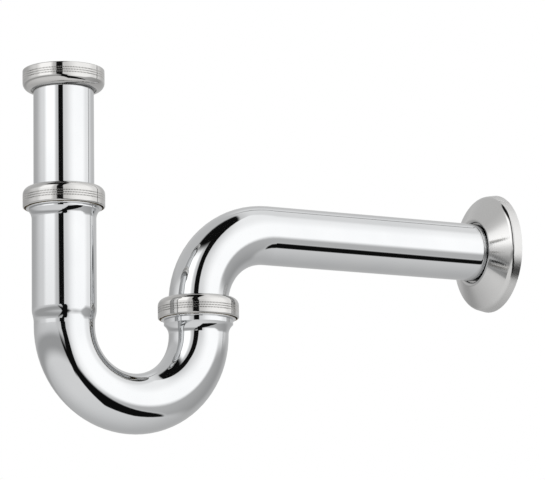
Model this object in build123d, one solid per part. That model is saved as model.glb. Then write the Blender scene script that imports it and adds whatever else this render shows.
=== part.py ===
from build123d import *
import os

# Chromed tubular basin trap with a knurled union nut, an adjustable inlet tube, a U bend with
# two slip joints, and an outlet bend that carries a sliding wall rosette.
# Millimetres, +Z up. The origin is on the wall pipe's axis, in the plane of the wall.
# +X points into the wall.

# Tube
TUBE_RADIUS = 16.0
TUBE_WALL = 0.8
PIPE_END_CHAMFER = 0.3

# Layout
WALL_DISTANCE = 184.0
U_BEND_RADIUS = 39.0
U_CENTRE_DROP = 57.0
OUTLET_BEND_RADIUS = 40.5
PIPE_BEYOND_WALL = 6.0

# Socket on the long leg, which the inlet tube slides in
SOCKET_CLEARANCE = 0.2
SOCKET_LENGTH = 48.0
SWAGE_LENGTH = 7.0
SWAGE_ABOVE_BEND = 2.0

# Cup and thread collar at the end of each leg
CUP_CLEARANCE = 1.7
FLARE_RADIUS = 7.0
LONG_NECK_LENGTH = 0.9
SHORT_NECK_LENGTH = 2.5
COLLAR_STEP = 1.55
COLLAR_LENGTH = 6.0
COLLAR_CHAMFER = 0.4
MOUTH_BEVEL = 1.4
THREAD_SHOWING = 0.8

# Knurled nut, measured from its open rim
NUT_WALL = 1.5
NUT_HEIGHT = 11.0
NUT_BAND_HEIGHT = 7.3
NUT_SHOULDER_BULGE = 0.85
NUT_HOLE_CLEARANCE = 1.4
NUT_LIP_ROUND = 0.5
NUT_RIM_CHAMFER = 0.4
NUT_SEAT_DEPTH = 9.3
NUT_SEAT_WIDTH = 1.5
NUT_THREAD_CLEARANCE = 0.15
NUT_THREAD_LENGTH = 5.2
NUT_RELIEF_DEPTH = 0.5
NUT_RELIEF_LENGTH = 1.3

# Inlet tube and its washer
INLET_LENGTH = 96.0
INLET_TOP = 71.95
FLANGE_WIDTH = 2.6
FLANGE_BEND_RADIUS = 1.2
WASHER_THICKNESS = 2.4
WASHER_BORE_CLEARANCE = 0.2

# Slip ring and cone seal
RING_THICKNESS = 1.8
RING_BORE_CLEARANCE = 0.7
RING_WIDTH = 1.9
RING_CHAMFER = 0.3
SEAL_BORE_CLEARANCE = 0.1
SEAL_SEAT_CLEARANCE = 0.12
SEAL_SKIRT_LENGTH = 6.0
SEAL_SKIRT_CHAMFER = 0.6

# Outlet bend
LEG_DEPTH_IN_CUP = 9.4

# Wall rosette, measured from the wall
ROSETTE_RADIUS = 33.0
ROSETTE_WALL = 1.0
ROSETTE_HOLE_CLEARANCE = 0.8
ROSETTE_BAND_WIDTH = 4.2
ROSETTE_BAND_LEAN = 10.0
ROSETTE_SHOULDER_ROUND = 3.0
ROSETTE_FACE_SLOPE = 29.0
ROSETTE_LIP_ROUND = 1.6
ROSETTE_NECK_LENGTH = 5.5

# Places that follow from the sizes above
BORE_RADIUS = TUBE_RADIUS - TUBE_WALL
SOCKET_BORE = TUBE_RADIUS + SOCKET_CLEARANCE
SOCKET_RADIUS = SOCKET_BORE + TUBE_WALL
CUP_BORE = TUBE_RADIUS + CUP_CLEARANCE
NECK_RADIUS = CUP_BORE + TUBE_WALL
COLLAR_RADIUS = NECK_RADIUS + COLLAR_STEP
NUT_THREAD_RADIUS = COLLAR_RADIUS + NUT_THREAD_CLEARANCE
NUT_RADIUS = NUT_THREAD_RADIUS + NUT_WALL
NUT_HOLE_RADIUS = TUBE_RADIUS + NUT_HOLE_CLEARANCE
FLANGE_RADIUS = TUBE_RADIUS + FLANGE_WIDTH
RING_BORE = TUBE_RADIUS + RING_BORE_CLEARANCE
RING_OUTER_RADIUS = RING_BORE + RING_WIDTH
OUTLET_X = -WALL_DISTANCE
INLET_X = OUTLET_X - 2 * U_BEND_RADIUS
U_CENTRE_Z = -U_CENTRE_DROP
U_CENTRE_X = OUTLET_X - U_BEND_RADIUS
SWAGE_BOTTOM = U_CENTRE_Z + SWAGE_ABOVE_BEND
SWAGE_TOP = SWAGE_BOTTOM + SWAGE_LENGTH
LONG_FLARE_FOOT = SWAGE_TOP + SOCKET_LENGTH
SHORT_FLARE_FOOT = U_CENTRE_Z


def flare_rise(rise, radius):
    """Height at which an arc of this radius, upright at its foot, has moved out by rise."""
    return (radius**2 - (radius - rise)**2) ** 0.5


LONG_COLLAR_FOOT = (
    LONG_FLARE_FOOT + flare_rise(NECK_RADIUS - SOCKET_RADIUS, FLARE_RADIUS) + LONG_NECK_LENGTH
)
SHORT_COLLAR_FOOT = (
    SHORT_FLARE_FOOT + flare_rise(NECK_RADIUS - TUBE_RADIUS, FLARE_RADIUS) + SHORT_NECK_LENGTH
)
LONG_COLLAR_TOP = LONG_COLLAR_FOOT + COLLAR_LENGTH
SHORT_COLLAR_TOP = SHORT_COLLAR_FOOT + COLLAR_LENGTH
UPPER_NUT_RIM = LONG_COLLAR_FOOT + THREAD_SHOWING
LOWER_NUT_RIM = SHORT_COLLAR_FOOT + THREAD_SHOWING
SEAT_ABOVE_COLLAR = THREAD_SHOWING + NUT_SEAT_DEPTH - COLLAR_LENGTH
SEAL_HEAD_HEIGHT = SEAT_ABOVE_COLLAR - RING_THICKNESS
INLET_NUT_RIM = INLET_TOP - TUBE_WALL + NUT_SEAT_DEPTH


def turned(outline):
    """Solid of revolution about Z from a closed outline of (radius, height) edges."""
    return revolve(Plane.XZ * make_face(outline), axis=Axis.Z)


def tube_ring():
    """Section of the tube, a flat ring about Z."""
    return Circle(TUBE_RADIUS) - Circle(BORE_RADIUS)


def union_nut():
    """Thin-walled nut with its open rim at height 0 and its rounded shoulder on top."""
    hole = NUT_HOLE_RADIUS
    thread = NUT_THREAD_RADIUS
    relief = thread + NUT_RELIEF_DEPTH
    seat = hole + NUT_SEAT_WIDTH
    thread_top = NUT_RIM_CHAMFER + NUT_THREAD_LENGTH
    shoulder_end = (hole + NUT_LIP_ROUND, NUT_HEIGHT)
    outside = Polyline(
        (thread + NUT_RIM_CHAMFER, 0),
        (NUT_RADIUS - NUT_RIM_CHAMFER, 0),
        (NUT_RADIUS, NUT_RIM_CHAMFER),
        (NUT_RADIUS, NUT_BAND_HEIGHT),
    )
    shoulder = SagittaArc((NUT_RADIUS, NUT_BAND_HEIGHT), shoulder_end, -NUT_SHOULDER_BULGE)
    lip = RadiusArc(shoulder_end, (hole, NUT_HEIGHT - NUT_LIP_ROUND), -NUT_LIP_ROUND)
    inside = Polyline(
        (hole, NUT_HEIGHT - NUT_LIP_ROUND),
        (hole, NUT_SEAT_DEPTH),
        (seat, NUT_SEAT_DEPTH),
        (relief, thread_top + NUT_RELIEF_LENGTH),
        (relief, thread_top),
        (thread, thread_top),
        (thread, NUT_RIM_CHAMFER),
        (thread + NUT_RIM_CHAMFER, 0),
    )
    return turned([outside, shoulder, lip, inside])


def inlet_nut():
    """Top nut, turned over so that its open rim takes the basin waste's thread."""
    return Pos(INLET_X, 0, INLET_NUT_RIM) * Rot(180, 0, 0) * union_nut()


def upper_slip_nut():
    return Pos(INLET_X, 0, UPPER_NUT_RIM) * union_nut()


def lower_slip_nut():
    return Pos(OUTLET_X, 0, LOWER_NUT_RIM) * union_nut()


def inlet_tube():
    """Plain tube whose top end is rolled outwards into a thin flange."""
    bottom = INLET_TOP - INLET_LENGTH
    inner_bend = FLANGE_BEND_RADIUS + TUBE_WALL
    under = INLET_TOP - TUBE_WALL
    bend_foot = INLET_TOP - inner_bend
    bend_end = TUBE_RADIUS + FLANGE_BEND_RADIUS
    outline = [
        Polyline(
            (BORE_RADIUS, bend_foot),
            (BORE_RADIUS, bottom),
            (TUBE_RADIUS, bottom),
            (TUBE_RADIUS, bend_foot),
        ),
        RadiusArc((TUBE_RADIUS, bend_foot), (bend_end, under), FLANGE_BEND_RADIUS),
        Polyline(
            (bend_end, under),
            (FLANGE_RADIUS, under),
            (FLANGE_RADIUS, INLET_TOP),
            (bend_end, INLET_TOP),
        ),
        RadiusArc((bend_end, INLET_TOP), (BORE_RADIUS, bend_foot), -inner_bend),
    ]
    return Pos(INLET_X, 0, 0) * turned(outline)


def inlet_washer():
    """Flat washer that lies on the inlet tube's flange, inside the top nut."""
    ring = Circle(FLANGE_RADIUS) - Circle(TUBE_RADIUS + WASHER_BORE_CLEARANCE)
    return Pos(INLET_X, 0, INLET_TOP) * extrude(ring, WASHER_THICKNESS)


def slip_ring(axis_x, collar_top):
    """Flat ring between a cone seal and the nut's seat, which lets the nut turn freely."""
    ring = Circle(RING_OUTER_RADIUS) - Circle(RING_BORE)
    body = extrude(ring, RING_THICKNESS)
    body = chamfer(body.edges().filter_by(GeomType.CIRCLE), RING_CHAMFER)
    return Pos(axis_x, 0, collar_top + SEAL_HEAD_HEIGHT) * body


def cone_seal(axis_x, collar_top):
    """Rubber seal with a broad head, a cone on the collar's bevel and a thin skirt in the cup."""
    bore = TUBE_RADIUS + SEAL_BORE_CLEARANCE
    skirt = CUP_BORE - SEAL_SEAT_CLEARANCE
    head = skirt + MOUTH_BEVEL
    outline = Polyline(
        (bore, SEAL_HEAD_HEIGHT),
        (bore, -SEAL_SKIRT_LENGTH),
        (skirt - SEAL_SKIRT_CHAMFER, -SEAL_SKIRT_LENGTH),
        (skirt, -SEAL_SKIRT_LENGTH + SEAL_SKIRT_CHAMFER),
        (skirt, -MOUTH_BEVEL),
        (head, 0),
        (RING_OUTER_RADIUS, SEAL_HEAD_HEIGHT),
        close=True,
    )
    return Pos(axis_x, 0, collar_top) * turned(outline)


def cup(foot_radius, foot_z, collar_foot):
    """Flared leg end with its thread collar, from the foot of the flare to the mouth."""
    bore = foot_radius - TUBE_WALL
    inner_flare = FLARE_RADIUS + TUBE_WALL
    neck_z = foot_z + flare_rise(NECK_RADIUS - foot_radius, FLARE_RADIUS)
    cup_z = foot_z + flare_rise(CUP_BORE - bore, inner_flare)
    top = collar_foot + COLLAR_LENGTH
    mouth = CUP_BORE + MOUTH_BEVEL
    outline = [
        Line((bore, foot_z), (foot_radius, foot_z)),
        RadiusArc((foot_radius, foot_z), (NECK_RADIUS, neck_z), FLARE_RADIUS),
        Polyline(
            (NECK_RADIUS, neck_z),
            (NECK_RADIUS, collar_foot),
            (COLLAR_RADIUS - COLLAR_CHAMFER, collar_foot),
            (COLLAR_RADIUS, collar_foot + COLLAR_CHAMFER),
            (COLLAR_RADIUS, top - COLLAR_CHAMFER),
            (COLLAR_RADIUS - COLLAR_CHAMFER, top),
            (mouth, top),
            (CUP_BORE, top - MOUTH_BEVEL),
            (CUP_BORE, cup_z),
        ),
        RadiusArc((CUP_BORE, cup_z), (bore, foot_z), -inner_flare),
    ]
    return turned(outline)


def swage(foot_radius, top_radius):
    """Soft step from the tube to the socket: two equal arcs that meet halfway, upright at both ends."""
    step = top_radius - foot_radius
    bend = (SWAGE_LENGTH**2 + step**2) / (4 * step)
    foot = (foot_radius, SWAGE_BOTTOM)
    middle = (foot_radius + step / 2, SWAGE_BOTTOM + SWAGE_LENGTH / 2)
    top = (top_radius, SWAGE_TOP)
    return [RadiusArc(foot, middle, bend), RadiusArc(middle, top, -bend)]


def long_leg():
    """Straight leg above the U, swaged out into the socket for the inlet tube."""
    outline = [
        Polyline((BORE_RADIUS, SWAGE_BOTTOM), (BORE_RADIUS, U_CENTRE_Z), (TUBE_RADIUS, U_CENTRE_Z)),
        Line((TUBE_RADIUS, U_CENTRE_Z), (TUBE_RADIUS, SWAGE_BOTTOM)),
        *swage(TUBE_RADIUS, SOCKET_RADIUS),
        Line((SOCKET_RADIUS, SWAGE_TOP), (SOCKET_RADIUS, LONG_FLARE_FOOT)),
        Polyline((SOCKET_RADIUS, LONG_FLARE_FOOT), (SOCKET_BORE, LONG_FLARE_FOOT), (SOCKET_BORE, SWAGE_TOP)),
        *swage(BORE_RADIUS, SOCKET_BORE),
    ]
    return turned(outline)


def u_bend():
    """One bent tube: socket leg, half turn and short leg, with a threaded cup at each end."""
    section = Pos(INLET_X, 0, U_CENTRE_Z) * tube_ring()
    half_turn = revolve(section, axis=Axis((U_CENTRE_X, 0, U_CENTRE_Z), (0, -1, 0)), revolution_arc=180)
    long_end = Pos(INLET_X, 0, 0) * (long_leg() + cup(SOCKET_RADIUS, LONG_FLARE_FOOT, LONG_COLLAR_FOOT))
    short_end = Pos(OUTLET_X, 0, 0) * cup(TUBE_RADIUS, SHORT_FLARE_FOOT, SHORT_COLLAR_FOOT)
    return half_turn + long_end + short_end


def outlet_bend():
    """Plain tube that leaves the short leg's cup upwards and turns level towards the wall."""
    leg_foot = SHORT_COLLAR_TOP - LEG_DEPTH_IN_CUP
    bend_foot = -OUTLET_BEND_RADIUS
    pipe_start = OUTLET_X + OUTLET_BEND_RADIUS
    leg = Pos(OUTLET_X, 0, leg_foot) * extrude(tube_ring(), bend_foot - leg_foot)
    turn_axis = Axis((pipe_start, 0, bend_foot), (0, 1, 0))
    quarter_turn = revolve(Pos(OUTLET_X, 0, bend_foot) * tube_ring(), axis=turn_axis, revolution_arc=90)
    pipe = extrude(tube_ring(), PIPE_BEYOND_WALL - pipe_start)
    end_rim = pipe.faces().sort_by(Axis.Z)[-1].edges().sort_by(SortBy.LENGTH)[-1]
    pipe = Pos(pipe_start, 0, 0) * Rot(0, 90, 0) * chamfer(end_rim, PIPE_END_CHAMFER)
    return leg + quarter_turn + pipe


def rosette_side(depth):
    """One side of the rosette's sheet from band to neck, at a depth below its outer face."""
    hole = TUBE_RADIUS + ROSETTE_HOLE_CLEARANCE
    face_turn = 90 - ROSETTE_FACE_SLOPE
    band_out = Vector(1, 0).rotate(Axis.Z, ROSETTE_BAND_LEAN)
    face_out = Vector(1, 0).rotate(Axis.Z, face_turn)
    band_up = Vector(-band_out.Y, band_out.X)
    shoulder = Vector(ROSETTE_RADIUS, 0) + band_up * ROSETTE_BAND_WIDTH - band_out * ROSETTE_SHOULDER_ROUND
    face_reach = shoulder.dot(face_out) + ROSETTE_SHOULDER_ROUND
    lip_radius = hole + ROSETTE_LIP_ROUND
    lip_height = (face_reach - ROSETTE_LIP_ROUND - lip_radius * face_out.X) / face_out.Y
    lip = Vector(lip_radius, lip_height)
    shoulder_round = ROSETTE_SHOULDER_ROUND - depth
    lip_round = ROSETTE_LIP_ROUND - depth
    return [
        Line((ROSETTE_RADIUS - depth / band_out.X, 0), shoulder + band_out * shoulder_round),
        CenterArc(shoulder, shoulder_round, ROSETTE_BAND_LEAN, face_turn - ROSETTE_BAND_LEAN),
        Line(shoulder + face_out * shoulder_round, lip + face_out * lip_round),
        CenterArc(lip, lip_round, face_turn, 180 - face_turn),
        Line((hole + depth, lip_height), (hole + depth, lip_height - ROSETTE_NECK_LENGTH)),
    ]


def wall_rosette():
    """Spun sheet cover with a sloping face and a neck turned in, free to slide along the wall pipe."""
    outer = rosette_side(0)
    inner = rosette_side(ROSETTE_WALL)
    rim_edge = Line(outer[0] @ 0, inner[0] @ 0)
    neck_edge = Line(outer[-1] @ 1, inner[-1] @ 1)
    return Rot(0, -90, 0) * turned([*outer, neck_edge, *inner, rim_edge])


PIECES = {
    "inlet_nut": inlet_nut(),
    "inlet_washer": inlet_washer(),
    "inlet_tube": inlet_tube(),
    "upper_slip_nut": upper_slip_nut(),
    "upper_slip_ring": slip_ring(INLET_X, LONG_COLLAR_TOP),
    "upper_cone_seal": cone_seal(INLET_X, LONG_COLLAR_TOP),
    "u_bend": u_bend(),
    "lower_slip_nut": lower_slip_nut(),
    "lower_slip_ring": slip_ring(OUTLET_X, SHORT_COLLAR_TOP),
    "lower_cone_seal": cone_seal(OUTLET_X, SHORT_COLLAR_TOP),
    "outlet_bend": outlet_bend(),
    "wall_rosette": wall_rosette(),
}

os.makedirs("parts", exist_ok=True)
for name, piece in PIECES.items():
    export_step(piece, f"parts/{name}.step")
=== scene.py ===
import math

import bpy
from mathutils import Matrix, Vector


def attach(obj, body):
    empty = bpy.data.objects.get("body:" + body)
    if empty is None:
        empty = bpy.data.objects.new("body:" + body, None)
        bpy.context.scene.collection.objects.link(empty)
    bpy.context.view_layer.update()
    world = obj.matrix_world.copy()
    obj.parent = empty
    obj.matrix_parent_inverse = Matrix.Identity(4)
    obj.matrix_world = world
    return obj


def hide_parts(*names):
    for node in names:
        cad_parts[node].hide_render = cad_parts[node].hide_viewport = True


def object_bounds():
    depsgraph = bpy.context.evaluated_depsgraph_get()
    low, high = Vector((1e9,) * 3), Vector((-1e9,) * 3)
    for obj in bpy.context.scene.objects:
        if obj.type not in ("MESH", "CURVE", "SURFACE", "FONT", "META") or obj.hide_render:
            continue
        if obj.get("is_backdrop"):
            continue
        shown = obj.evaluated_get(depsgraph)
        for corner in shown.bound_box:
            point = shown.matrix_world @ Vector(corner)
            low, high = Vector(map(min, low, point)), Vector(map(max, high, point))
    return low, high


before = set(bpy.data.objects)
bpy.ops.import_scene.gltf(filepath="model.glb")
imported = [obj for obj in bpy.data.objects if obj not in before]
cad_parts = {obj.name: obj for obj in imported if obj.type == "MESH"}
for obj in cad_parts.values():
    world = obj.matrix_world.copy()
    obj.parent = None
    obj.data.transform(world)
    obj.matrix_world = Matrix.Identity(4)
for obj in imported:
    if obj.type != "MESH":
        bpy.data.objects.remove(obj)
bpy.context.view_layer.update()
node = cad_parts


# Outlet bend
# The plain tube that leaves the short leg upwards, turns level and runs into the wall. It is drawn
# brass tube, bent over a mandrel, buffed and chromed. Its bore and its sawn end are left as dull brass.
MM = 0.001
OUTLET_X = -184 * MM
OUTLET_BEND_RADIUS = 40.5 * MM
OUTLET_PIPE_START = OUTLET_X + OUTLET_BEND_RADIUS
OUTLET_SAWN_END = 5.8 * MM
TUBE_MID_WALL = 15.6 * MM
TUBE_CHROME = (0.655, 0.662, 0.668, 1)
TUBE_CHROME_CLOUDED = (0.628, 0.637, 0.646, 1)
BARE_BRASS = (0.34, 0.262, 0.132, 1)
BARE_BRASS_STAINED = (0.215, 0.162, 0.088, 1)
# Dark chrome colour used as painted shade in deep recesses: the rosette's neck gap and the knurl pits.
CHROME_PAINTED_SHADE = (0.3, 0.295, 0.285, 1)
TUBE_HAZE = 0.03
CLOUD_SCALE = 34.0
CLOUD_HAZE = 0.012
WIPE_SCALE = 420.0
WIPE_HAZE = 0.01
STAIN_SCALE = 130.0
BRASS_ROUGHNESS = 0.34
STAIN_ROUGHNESS = 0.2
DEGREES = 180 / math.pi


class Signal:
    """One socket of a node tree. Sums and comparisons of signals add Math nodes to the tree."""

    def __init__(self, socket):
        self.socket = socket

    def node(self, kind, settings, sockets, output=0):
        """Adds a node of this kind, sets it up, fills or links its sockets and gives one output."""
        tree = self.socket.id_data
        made = tree.nodes.new(kind)
        for name, value in settings.items():
            setattr(made, name, value)
        for name, value in sockets.items():
            if isinstance(value, Signal):
                tree.links.new(value.socket, made.inputs[name])
            else:
                made.inputs[name].default_value = value
        return Signal(made.outputs[output])

    def maths(self, operation, *values):
        return self.node("ShaderNodeMath", {"operation": operation}, dict(enumerate(values)))

    def __add__(self, other):
        return self.maths("ADD", self, other)

    def __sub__(self, other):
        return self.maths("SUBTRACT", self, other)

    def __mul__(self, other):
        return self.maths("MULTIPLY", self, other)

    def __truediv__(self, other):
        return self.maths("DIVIDE", self, other)

    def __radd__(self, other):
        return self.maths("ADD", other, self)

    def __rsub__(self, other):
        return self.maths("SUBTRACT", other, self)

    def __rmul__(self, other):
        return self.maths("MULTIPLY", other, self)

    def __gt__(self, other):
        return self.maths("GREATER_THAN", self, other)

    def __lt__(self, other):
        return self.maths("LESS_THAN", self, other)

    def __abs__(self):
        return self.maths("ABSOLUTE", self)

    def root(self):
        return self.maths("SQRT", self)

    def either(self, other):
        return self.maths("MAXIMUM", self, other)

    def lesser(self, other):
        return self.maths("MINIMUM", self, other)

    def angle(self, other):
        """The angle in degrees whose sine goes with this signal and whose cosine goes with the other."""
        return self.maths("ARCTAN2", self, other) * DEGREES

    def rise(self, low, high):
        """Goes smoothly from 0 at low to 1 at high, which may be the lower of the two."""
        limits = {"Value": self, "From Min": low, "From Max": high}
        return self.node("ShaderNodeMapRange", {"interpolation_type": "SMOOTHSTEP"}, limits)

    def toward(self, other, share):
        """A number that goes from this one to the other as the share goes from 0 to 1."""
        return self + (other - self) * share

    def axes(self):
        """The three coordinates of a vector."""
        split = self.node("ShaderNodeSeparateXYZ", {}, {"Vector": self})
        return [Signal(output) for output in split.socket.node.outputs]

    def noise(self, scale, detail):
        return self.node("ShaderNodeTexNoise", {}, {"Vector": self, "Scale": scale, "Detail": detail})

    def blend(self, first, second):
        """A colour that goes from the first to the second as this signal goes from 0 to 1."""
        return self.node("ShaderNodeMix", {"data_type": "RGBA"}, {0: self, 6: first, 7: second}, 2)

    def relief(self, depth):
        """A surface normal for heights of this signal, as deep as said in metres."""
        return self.node("ShaderNodeBump", {}, {"Height": self, "Distance": depth, "Strength": 1.0})


def new_finish(name):
    """A new material, with signals for the place and the normal on the piece, and its shader."""
    finish = bpy.data.materials.new(name)
    finish.use_nodes = True
    shader = finish.node_tree.nodes["Principled BSDF"]
    at = finish.node_tree.nodes.new("ShaderNodeTexCoord")
    return finish, Signal(at.outputs["Object"]), Signal(at.outputs["Normal"]), shader


def feed(shader, **sockets):
    """Links signals to a shader's sockets, and sets plain values on them."""
    for name, value in sockets.items():
        socket = shader.inputs[name.replace("_", " ")]
        if isinstance(value, Signal):
            shader.id_data.links.new(value.socket, socket)
        else:
            socket.default_value = value


def chromed_brass(place, shader, bright, clouded, bare, haze, painted_shade=None):
    """Chrome with faint clouds and wiping marks, painted shade where the shade mask is 1, and dull brass
    where bare is 1.
    """
    cloud = place.noise(CLOUD_SCALE, 3.0)
    wipe = place.noise(WIPE_SCALE, 2.0)
    stain = place.noise(STAIN_SCALE, 4.0).rise(0.35, 0.7)
    chrome = cloud.rise(0.3, 0.7).blend(bright, clouded)
    if painted_shade:
        chrome = painted_shade.blend(chrome, CHROME_PAINTED_SHADE)
    brass = stain.blend(BARE_BRASS, BARE_BRASS_STAINED)
    polish = haze + cloud.rise(0.45, 0.8) * CLOUD_HAZE + wipe.rise(0.5, 0.9) * WIPE_HAZE
    feed(shader, Base_Color=bare.blend(chrome, brass), Metallic=1.0)
    feed(shader, Roughness=polish.toward(BRASS_ROUGHNESS + stain * STAIN_ROUGHNESS, bare))


outlet_finish, place, _, shader = new_finish("chrome outlet tube")
x, y, z = place.axes()
turn_x = (x - OUTLET_PIPE_START).lesser(0)
turn_z = (z + OUTLET_BEND_RADIUS).either(0)
off_turn = (turn_x * turn_x + turn_z * turn_z).root() - OUTLET_BEND_RADIUS
off_axis = (off_turn * off_turn + y * y).root()
bare_inside = (off_axis < TUBE_MID_WALL).either(x > OUTLET_SAWN_END)
chromed_brass(place, shader, TUBE_CHROME, TUBE_CHROME_CLOUDED, bare_inside, TUBE_HAZE)
node["outlet_bend"].material_slots[0].material = outlet_finish


# Wall rosette
# The cover that hides the hole in the wall, spun from brass sheet with a sloping face, a rounded shoulder
# and a neck turned in at the hole. It is chromed on its face, dull behind, and slides along the pipe.
ROSETTE_CHROME = (0.63, 0.627, 0.62, 1)
ROSETTE_CHROME_CLOUDED = (0.595, 0.592, 0.587, 1)
ROSETTE_NECK_START = -11.2 * MM
ROSETTE_NECK_OUTSIDE = 18.2 * MM
ROSETTE_HAZE = 0.075
ROSETTE_BAND_HAZE = 0.2
ROSETTE_BAND_INSIDE = 32.0 * MM
ROSETTE_BAND_OUTSIDE = 32.4 * MM
ROSETTE_SPIN_LINES = 5200.0
ROSETTE_SPIN_WANDER = 60.0
ROSETTE_SPIN_DEPTH = 0.0004 * MM
rosette_finish, place, normal, shader = new_finish("chrome rosette")
x, y, z = place.axes()
off_pipe = (y * y + z * z).root()
facing_wall = normal.axes()[0].rise(0.05, 0.15)
neck = (off_pipe < ROSETTE_NECK_OUTSIDE) * (x > ROSETTE_NECK_START)
on_band = off_pipe.rise(ROSETTE_BAND_INSIDE, ROSETTE_BAND_OUTSIDE)
haze = ROSETTE_HAZE + on_band * ROSETTE_BAND_HAZE
# The neck inside the hole is darkened with the chrome shade colour, as painted shade in the gap round the
# pipe.
chromed_brass(place, shader, ROSETTE_CHROME, ROSETTE_CHROME_CLOUDED, facing_wall, haze, neck)
spin_line = off_pipe * ROSETTE_SPIN_LINES + place.noise(ROSETTE_SPIN_WANDER, 2.0)
spin_line = spin_line.maths("SINE", spin_line)
feed(shader, Normal=spin_line.relief(ROSETTE_SPIN_DEPTH))
node["wall_rosette"].material_slots[0].material = rosette_finish


# U bend
# The trap itself: one brass tube bent into a U, its long leg widened to take the inlet tube, and a flared
# cup with a threaded collar at the end of each leg. All of it is polished and chromed together.
INLET_X = -262 * MM
U_CENTRE_X = -223 * MM
U_CENTRE_Z = -57 * MM
U_BEND_RADIUS = 39 * MM
U_FACING_IN = -1 * MM
THREAD_PITCH = 2.309 * MM
THREAD_TALL = 0.55 * MM
THREAD_ROOTED = 1.4
THREAD_STRETCH = 2.6
THREAD_STEPS = 48
SMOOTH_ANGLE = math.radians(32)
COLLAR_THREAD_TIP = 20.6 * MM
COLLAR_THREAD_HALF_TURNS = 3
LONG_COLLAR_THREAD = 6.65 * MM
SHORT_COLLAR_THREAD = -47.718 * MM


def thread_coil(name, axis_x, low, tip, outward, half_turns, start):
    """A coiled ridge that points out from the axis, or at it if outward is -1, with its foot in the wall."""
    size = THREAD_TALL / THREAD_ROOTED
    facing = (math.pi / 2, outward * math.pi / 2, 0)
    bpy.ops.object.select_all(action="DESELECT")
    bpy.ops.mesh.primitive_circle_add(vertices=3, radius=size, location=(axis_x, 0, low), rotation=facing)
    coil = bpy.context.object
    coil.name = name
    bpy.ops.object.transform_apply(location=False, rotation=True)
    bpy.ops.object.mode_set(mode="EDIT")
    bpy.ops.mesh.select_all(action="SELECT")
    bpy.ops.transform.resize(value=(1, 1, THREAD_STRETCH), center_override=(axis_x, 0, low))
    bpy.ops.transform.translate(value=(tip - outward * size, 0, 0))
    bpy.ops.object.mode_set(mode="OBJECT")
    screw = coil.modifiers.new("screw", "SCREW")
    screw.angle = math.pi
    screw.screw_offset = THREAD_PITCH / 2
    screw.iterations = half_turns
    screw.steps = THREAD_STEPS
    bpy.ops.object.modifier_apply(modifier="screw")
    coil.rotation_euler.z = start
    bpy.ops.object.transform_apply(location=True, rotation=True)
    bpy.ops.object.mode_set(mode="EDIT")
    bpy.ops.mesh.select_all(action="SELECT")
    bpy.ops.mesh.fill_holes(sides=3)
    bpy.ops.mesh.normals_make_consistent(inside=False)
    bpy.ops.object.mode_set(mode="OBJECT")
    return coil


u_finish, place, normal, shader = new_finish("chrome u bend")
x, y, z = place.axes()
normal_x, normal_y, normal_z = normal.axes()
turn_x = x - U_CENTRE_X
turn_z = (z - U_CENTRE_Z).lesser(0)
reach = (turn_x * turn_x + turn_z * turn_z).root()
off_turn = reach - U_BEND_RADIUS
outward = off_turn * (turn_x * normal_x + turn_z * normal_z) / reach + y * normal_y
chromed_brass(place, shader, TUBE_CHROME, TUBE_CHROME_CLOUDED, outward < U_FACING_IN, TUBE_HAZE)
node["u_bend"].material_slots[0].material = u_finish
collar_threads = {
    "long_leg_thread": (INLET_X, LONG_COLLAR_THREAD),
    "short_leg_thread": (OUTLET_X, SHORT_COLLAR_THREAD),
}
for name, (axis_x, low) in collar_threads.items():
    thread = thread_coil(name, axis_x, low, COLLAR_THREAD_TIP, 1, COLLAR_THREAD_HALF_TURNS, math.pi / 2)
    bpy.ops.object.shade_smooth_by_angle(angle=SMOOTH_ANGLE)
    thread.data.materials.append(u_finish)
    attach(thread, "u")


# Cone seals
# The two moulded rubber rings that seal the slip joints. Each sits on a collar's bevel with its skirt
# down in the cup, and is squeezed on to the tube by the nut above it.
SEAL_RUBBER = (0.02, 0.02, 0.021, 1)
SEAL_RUBBER_DUSTY = (0.058, 0.056, 0.053, 1)
SEAL_ROUGHNESS = 0.5
SEAL_GRAIN = 0.05 * MM
PATCH_SCALE = 160.0
PATCH_ROUGHNESS = 0.16
GRAIN_SCALE = 1900.0


def moulded(place, shader, clean, dusty, roughness, grain):
    """A dull moulded finish with a fine grain, and dust or wear in soft patches."""
    patch = place.noise(PATCH_SCALE, 4.0).rise(0.4, 0.75)
    feed(shader, Base_Color=patch.blend(clean, dusty), Roughness=roughness + patch * PATCH_ROUGHNESS)
    feed(shader, Normal=place.noise(GRAIN_SCALE, 3.0).relief(grain))


seal_finish, place, _, shader = new_finish("seal rubber")
moulded(place, shader, SEAL_RUBBER, SEAL_RUBBER_DUSTY, SEAL_ROUGHNESS, SEAL_GRAIN)
node["upper_cone_seal"].material_slots[0].material = seal_finish
node["lower_cone_seal"].material_slots[0].material = seal_finish


# Slip rings
# The two thin nylon rings on top of the seals. They let the nuts turn without dragging the rubber, and
# are moulded in the natural off-white colour, a little yellowed.
RING_NYLON = (0.74, 0.72, 0.66, 1)
RING_NYLON_YELLOWED = (0.66, 0.61, 0.49, 1)
RING_ROUGHNESS = 0.34
RING_GRAIN = 0.02 * MM
ring_finish, place, _, shader = new_finish("ring nylon")
moulded(place, shader, RING_NYLON, RING_NYLON_YELLOWED, RING_ROUGHNESS, RING_GRAIN)
node["upper_slip_ring"].material_slots[0].material = ring_finish
node["lower_slip_ring"].material_slots[0].material = ring_finish


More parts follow.
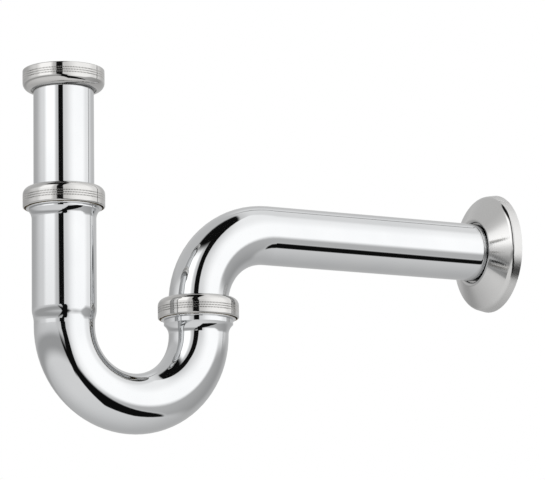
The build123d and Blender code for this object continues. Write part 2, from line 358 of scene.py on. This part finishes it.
# Slip nuts
# The two turned brass nuts on the collars: thin rings with a rounded shoulder, a pipe thread inside and
# three rows of fine knurling outside. They are chromed, a little warmer and softer than the tubes.
UPPER_NUT_RIM = 6.03 * MM
LOWER_NUT_RIM = -48.338 * MM
NUT_SIDES = 480
NUT_RADIUS = 21.7 * MM
NUT_HEIGHT = 11 * MM
NUT_HOLE = 17.4 * MM
NUT_SHOULDER_ROUND = 4 * MM
NUT_LIP_ROUND = 0.3 * MM
NUT_RIM_ROUND = 0.7 * MM
NUT_BAND_MARGIN = 0.08 * MM
NUT_SEAT_WIDTH = 1.5 * MM
NUT_SEAT_HEIGHT = 9.3 * MM
NUT_CONE_HEIGHT = 6.9 * MM
NUT_THREAD_ROOT = 20.75 * MM
NUT_THREAD_CREST = NUT_THREAD_ROOT - THREAD_TALL
NUT_THREAD_START = 1.2 * MM
NUT_THREAD_TURNS = 2
NUT_INSIDE = 18.6 * MM
NUT_FACING_IN = -2 * MM
NUT_WELD = 0.02 * MM
KNURL_ROWS = (3.15 * MM, 4.38 * MM, 5.61 * MM)
KNURL_TALL = 0.62 * MM
KNURL_INSET = 0.17 * MM
KNURL_DEPTH = 0.17 * MM
KNURL_FACES = 3
NUT_CHROME = (0.592, 0.585, 0.572, 1)
NUT_CHROME_CLOUDED = (0.562, 0.557, 0.548, 1)
NUT_HAZE = 0.06


def round_corner(radius, height, size, first, last, steps):
    """Points on an arc about (radius, height), from the first angle to the last, in degrees."""
    turns = [math.radians(first + (last - first) * step / steps) for step in range(steps + 1)]
    return [(radius + size * math.cos(turn), height + size * math.sin(turn)) for turn in turns]


def turned_shell(name, outline, axis_x, rim, up):
    """A closed turned piece: a circle that is extruded and widened from point to point of an outline."""
    bpy.ops.object.select_all(action="DESELECT")
    radius, height = outline[0]
    start = (axis_x, 0, rim + up * height)
    bpy.ops.mesh.primitive_circle_add(vertices=NUT_SIDES, radius=radius, location=start)
    piece = bpy.context.object
    piece.name = name
    bpy.ops.object.transform_apply(location=True)
    bpy.ops.object.mode_set(mode="EDIT")
    for next_radius, next_height in outline[1:] + outline[:1]:
        lift = (0, 0, up * (next_height - height))
        widen = next_radius / radius
        bpy.ops.mesh.extrude_region_move(TRANSFORM_OT_translate={"value": lift})
        bpy.ops.transform.resize(value=(widen, widen, 1), center_override=(axis_x, 0, 0))
        radius, height = next_radius, next_height
    bpy.ops.mesh.select_all(action="SELECT")
    bpy.ops.mesh.remove_doubles(threshold=NUT_WELD)
    bpy.ops.mesh.normals_make_consistent(inside=False)
    bpy.ops.object.mode_set(mode="OBJECT")
    return piece


def press_knurl(nut, axis_x, rim, up):
    """Presses in all but one face of every KNURL_FACES along each row, with the rows set a step apart."""
    bpy.ops.object.mode_set(mode="EDIT")
    bpy.ops.mesh.select_mode(type="FACE")
    bpy.ops.mesh.select_all(action="DESELECT")
    bpy.ops.object.mode_set(mode="OBJECT")
    for face in nut.data.polygons:
        off_x = face.center.x - axis_x
        height = up * (face.center.z - rim)
        step = math.floor(math.atan2(face.center.y, off_x) / (2 * math.pi / NUT_SIDES))
        rows = [row for row, middle in enumerate(KNURL_ROWS) if abs(height - middle) < KNURL_TALL / 4]
        outside = math.hypot(off_x, face.center.y) > NUT_RADIUS - KNURL_DEPTH / 2
        face.select = bool(outside and rows and (step + rows[0]) % KNURL_FACES > 0)
    bpy.ops.object.mode_set(mode="EDIT")
    bpy.ops.mesh.inset(thickness=KNURL_INSET, depth=-KNURL_DEPTH)
    bpy.ops.mesh.select_mode(type="VERT")
    bpy.ops.object.mode_set(mode="OBJECT")
    # The pressed-in faces are marked so that the nut's finish can paint shade into the knurl pits.
    knurl_pit_shade = nut.data.attributes.new("knurl_pit_shade", "FLOAT", "FACE")
    for face in nut.data.polygons:
        height = up * (face.center.z - rim)
        sunk = NUT_RADIUS - math.hypot(face.center.x - axis_x, face.center.y)
        in_rows = KNURL_ROWS[0] - KNURL_TALL < height < KNURL_ROWS[-1] + KNURL_TALL
        knurl_pit_shade.data[face.index].value = float(in_rows and KNURL_DEPTH / 4 < sunk < 2 * KNURL_DEPTH)


def cut_thread(nut, axis_x, low):
    """Joins a coiled ridge to the nut's bore."""
    thread_coil("nut_thread", axis_x, low, NUT_THREAD_CREST, -1, 2 * NUT_THREAD_TURNS, 0)
    nut.select_set(True)
    bpy.context.view_layer.objects.active = nut
    bpy.ops.object.join()


def knurled_nut(name, axis_x, rim, up):
    """One finished nut. Its open rim is at the height rim, its shoulder above it, or below if up is -1."""
    outline = [(NUT_THREAD_ROOT, NUT_RIM_ROUND / 2)]
    outline += round_corner(NUT_RADIUS - NUT_RIM_ROUND, NUT_RIM_ROUND, NUT_RIM_ROUND, -90, 0, 8)
    outline += [(NUT_RADIUS, NUT_RIM_ROUND + NUT_BAND_MARGIN)]
    for middle in KNURL_ROWS:
        outline += [(NUT_RADIUS, middle - KNURL_TALL / 2), (NUT_RADIUS, middle + KNURL_TALL / 2)]
    shoulder = (NUT_RADIUS - NUT_SHOULDER_ROUND, NUT_HEIGHT - NUT_SHOULDER_ROUND)
    outline += [(NUT_RADIUS, shoulder[1] - NUT_BAND_MARGIN)]
    outline += round_corner(*shoulder, NUT_SHOULDER_ROUND, 0, 90, 18)
    outline += round_corner(NUT_HOLE + NUT_LIP_ROUND, NUT_HEIGHT - NUT_LIP_ROUND, NUT_LIP_ROUND, 120, 180, 3)
    outline += [(NUT_HOLE, NUT_SEAT_HEIGHT), (NUT_HOLE + NUT_SEAT_WIDTH, NUT_SEAT_HEIGHT)]
    outline += [(NUT_THREAD_ROOT, NUT_CONE_HEIGHT)]
    nut = turned_shell(name, outline, axis_x, rim, up)
    press_knurl(nut, axis_x, rim, up)
    thread_height = NUT_THREAD_START if up > 0 else NUT_THREAD_START + NUT_THREAD_TURNS * THREAD_PITCH
    cut_thread(nut, axis_x, rim + up * thread_height)
    bpy.ops.object.shade_smooth_by_angle(angle=SMOOTH_ANGLE)
    nut.data.materials.clear()
    nut.data.materials.append(nut_finish)
    return nut


nut_finish, place, normal, shader = new_finish("chrome nut")
x, y = place.axes()[:2]
normal_x, normal_y = normal.axes()[:2]
side = x - U_CENTRE_X
leg_x = (abs(side) - U_BEND_RADIUS) * side.maths("SIGN", side)
facing_in = leg_x * normal_x + y * normal_y < NUT_FACING_IN
in_thread = facing_in * ((leg_x * leg_x + y * y).root() > NUT_INSIDE)
knurl_pit_shade = place.node("ShaderNodeAttribute", {"attribute_name": "knurl_pit_shade"}, {}, "Fac")
# The knurl pits are darkened with the chrome shade colour, as painted shade in the recesses.
chromed_brass(place, shader, NUT_CHROME, NUT_CHROME_CLOUDED, in_thread, NUT_HAZE, knurl_pit_shade)
upper_nut = knurled_nut("upper_nut", INLET_X, UPPER_NUT_RIM, 1)
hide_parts("upper_slip_nut")
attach(upper_nut, "upper_nut")
lower_nut = knurled_nut("lower_nut", OUTLET_X, LOWER_NUT_RIM, 1)
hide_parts("lower_slip_nut")
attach(lower_nut, "lower_nut")


# Inlet tube
# The straight tube from the basin, pushed down into the long leg and held by the upper slip joint.
# It is chromed brass tube with its top end rolled out into a flange, bare inside.
inlet_finish, place, _, shader = new_finish("chrome inlet tube")
x, y = place.axes()[:2]
off_inlet = ((x - INLET_X) * (x - INLET_X) + y * y).root()
chromed_brass(place, shader, TUBE_CHROME, TUBE_CHROME_CLOUDED, off_inlet < TUBE_MID_WALL, TUBE_HAZE)
node["inlet_tube"].material_slots[0].material = inlet_finish


# Inlet washer
# The flat ring on the inlet tube's flange that seals it to the basin waste. It is punched from black
# rubber sheet, with a fine grain and a little dust.
WASHER_RUBBER = (0.024, 0.024, 0.025, 1)
WASHER_RUBBER_DUSTY = (0.07, 0.067, 0.062, 1)
WASHER_ROUGHNESS = 0.56
WASHER_GRAIN = 0.09 * MM
washer_finish, place, _, shader = new_finish("washer rubber")
moulded(place, shader, WASHER_RUBBER, WASHER_RUBBER_DUSTY, WASHER_ROUGHNESS, WASHER_GRAIN)
node["inlet_washer"].material_slots[0].material = washer_finish


# Union nut
# The same knurled nut turned over, so that its open thread takes the basin waste from below and its seat
# pulls the inlet tube's flange and washer up against it.
INLET_NUT_RIM = 80.45 * MM
inlet_nut = knurled_nut("inlet_union_nut", INLET_X, INLET_NUT_RIM, -1)
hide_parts("inlet_nut")
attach(inlet_nut, "inlet_union")


# Floor
# A plain pale floor well below the trap, which hangs from its basin and its wall.
FLOOR_HEIGHT = -0.42
FLOOR_SIZE = 14.0
FLOOR_PALE = (0.84, 0.84, 0.835, 1)
FLOOR_PALE_WORN = (0.81, 0.81, 0.805, 1)
FLOOR_PATCH_SCALE = 1.3
FLOOR_ROUGHNESS = 0.7
bpy.ops.object.select_all(action="DESELECT")
bpy.ops.mesh.primitive_plane_add(size=FLOOR_SIZE, location=(0, 0, FLOOR_HEIGHT))
floor = bpy.context.object
floor.name = "floor"
floor.visible_glossy = False
floor_finish, place, _, shader = new_finish("pale floor")
worn = place.noise(FLOOR_PATCH_SCALE, 3.0)
feed(shader, Base_Color=worn.blend(FLOOR_PALE, FLOOR_PALE_WORN), Roughness=FLOOR_ROUGHNESS)
floor.data.materials.append(floor_finish)
floor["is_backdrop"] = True


# Studio
# White paper all round lights the room. What the chrome mirrors is a grey table and grey walls, two
# tall soft light panels in front, and the dark room that shows between, above and below the panels.
CHROME_MIRRORS = 0.66
TABLE_BACK = 0.38
TABLE_FRONT = 0.61
TABLE_SHADE = 0.3
WALL = 0.45
WALL_FOOT = 0.3
WALL_SHADE = 0.11
WALL_GLOW = 0.22
RIGHT_DIM = 0.64
RIGHT_GAIN = 0.34
RIGHT_TOP_FADE = 0.16
RIGHT_END_FADE = 0.2
RIGHT_FOOT_FADE = 0.3
RIGHT_FOOT = -13
RIGHT_FOOT_STEP = 17
PANEL_FRAME = 0.05
LEFT_DIM = 0.7
LEFT_GAIN = 0.38
LEFT_FADE = 0.54
LEFT_LEAN = 28
SLOT_TURN = -21
SLOT_LEAN = 14
DARK_ROOM = 0.004
DARK_TOP = -19.5
DARK_TOP_SLOPE = 0.4
DARK_FOOT = -51.5
DARK_FOOT_SLOPE = 0.22
DARK_FOOT_BEND = 30
studio = bpy.data.worlds.new("studio")
studio.use_nodes = True
bpy.context.scene.world = studio
tree = studio.node_tree
tree.nodes.clear()
way = Signal(tree.nodes.new("ShaderNodeTexCoord").outputs["Generated"])

# Turn is 0 in front and grows to the right, lift grows upwards, both in degrees. Each rise is a soft edge.
x, y, z = way.axes()
turn = x.angle(0 - y)
lift = z.maths("ARCSINE", z) * DEGREES

# The table is brighter in front and dim under the right panel, and the walls are dimmer behind the trap.
table = TABLE_BACK + (0 - 0.6 * x - 0.8 * y).rise(-1.0, 0.6) * (TABLE_FRONT - TABLE_BACK)
dark_top = lift - DARK_TOP + DARK_TOP_SLOPE * turn
dark_foot = lift - DARK_FOOT - DARK_FOOT_SLOPE * (turn - DARK_FOOT_BEND).either(0)
under_panel = dark_top.rise(-2, 4) * dark_foot.rise(-3, 8) * turn.rise(0, 20) * turn.rise(120, 90)
table = table * (1 - under_panel * TABLE_SHADE)
wall = WALL - abs(turn).rise(120, 175) * lift.rise(28, 14) * WALL_SHADE
room = table.toward(wall, z.rise(0.0, 0.2))
foot = z.rise(-0.38, -0.16) * z.rise(0.10, -0.06) * (0.85 * x - 0.25 * y).rise(0.15, -0.35)
room = room.toward(WALL_FOOT, foot)

# The right panel leans. It has a thin dark frame along its far edge, and the wall glows beyond it.
near_edge = 1.352 * x - y - 0.404 * z
far_edge = 0.401 * z - 0.183 * x - y
right_foot = lift - RIGHT_FOOT - turn.rise(34, 62) * RIGHT_FOOT_STEP
right_panel = turn.rise(-28, -25) * near_edge.rise(-0.02, 0.03) * far_edge.rise(0.0, 0.03)
right_panel = right_panel * right_foot.rise(-6, 8)
right_glow = RIGHT_DIM + turn.rise(-26, 20) * RIGHT_GAIN
right_glow = right_glow * (1 - z.rise(0.45, 0.9) * RIGHT_TOP_FADE)
right_glow = right_glow * (1 - turn.rise(50, 72) * RIGHT_END_FADE)
right_glow = right_glow * (1 - turn.rise(2, -16) * lift.rise(20, -8) * RIGHT_FOOT_FADE)
beyond = x.rise(0.0, 0.25) * z.rise(0.02, 0.15)
room = (room + far_edge.rise(-0.5, 0.0) * beyond * WALL_GLOW).toward(right_glow, right_panel)
room = room.toward(PANEL_FRAME, abs(far_edge).rise(0.03, 0.012) * beyond)

# The left panel fades out to the left, later higher up, and is dim beside the slot.
left_panel = (turn - lift.rise(18, 36) * LEFT_LEAN).rise(-148, -108) * turn.rise(-42, -46)
left_panel = left_panel * lift.rise(3, 15) * lift.rise(62, 43)
left_glow = LEFT_DIM + turn.rise(-106, -88) * LEFT_GAIN - turn.rise(-62, -50) * LEFT_FADE
room = room.toward(left_glow, left_panel)

# The dark room shows in the slot between the panels, above them, and in a long pointed shape below them.
slot_middle = SLOT_TURN - lift.rise(-2, 14) * SLOT_LEAN
slot = abs(turn - slot_middle).rise(9.8, 8.0) * lift.rise(-30, -22)
over_panels = lift.rise(49, 60).either(turn.rise(-46, -42)) * (0.15 * z - y).rise(-0.08, 0.05)
above = near_edge.rise(0.02, -0.02) * (x - 0.08 * z).rise(0.02, -0.03) * over_panels * lift.rise(8, 14)
top_softness = 1.5 + turn.rise(26, 4) * 5
below = (turn + 45 + 0.75 * lift).rise(-2, 2) * dark_top.rise(top_softness, -1.5)
below = below * dark_foot.rise(-1.5, 1.5)
room = room.toward(DARK_ROOM, slot.either(above).either(below))

# Only mirror rays see the room. All others see the white paper.
mirrored = way.node("ShaderNodeBackground", {}, {"Color": room / CHROME_MIRRORS, "Strength": 1.0})
paper = way.node("ShaderNodeBackground", {}, {"Color": (1, 1, 1, 1), "Strength": 1.0})
is_mirror = Signal(tree.nodes.new("ShaderNodeLightPath").outputs["Is Glossy Ray"])
seen = way.node("ShaderNodeMixShader", {}, {0: is_mirror, 1: paper, 2: mirrored})
tree.links.new(seen.socket, tree.nodes.new("ShaderNodeOutputWorld").inputs["Surface"])
bpy.context.scene.view_settings.view_transform = "Standard"


# Camera
# Below the trap and to its left, far off with a long lens, as the photograph was taken.
EYE = Vector((-0.91991, -1.50635, -0.32456))
AZIMUTH = math.radians(-27.411)
ELEVATION = math.radians(-10.762)
ROLL = math.radians(-0.903)
LENS = 210.04
SENSOR_WIDTH = 36.0
bpy.ops.object.camera_add()
camera = bpy.context.object
tilt = Matrix.Rotation(math.pi / 2 - ELEVATION, 4, "X")
camera.matrix_world = (
    Matrix.Translation(EYE) @ Matrix.Rotation(AZIMUTH, 4, "Z") @ tilt @ Matrix.Rotation(ROLL, 4, "Z")
)
camera.data.sensor_width = SENSOR_WIDTH
camera.data.lens = LENS
bpy.context.scene.camera = camera


# Size of the finished part, leaving out the floor
low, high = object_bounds()
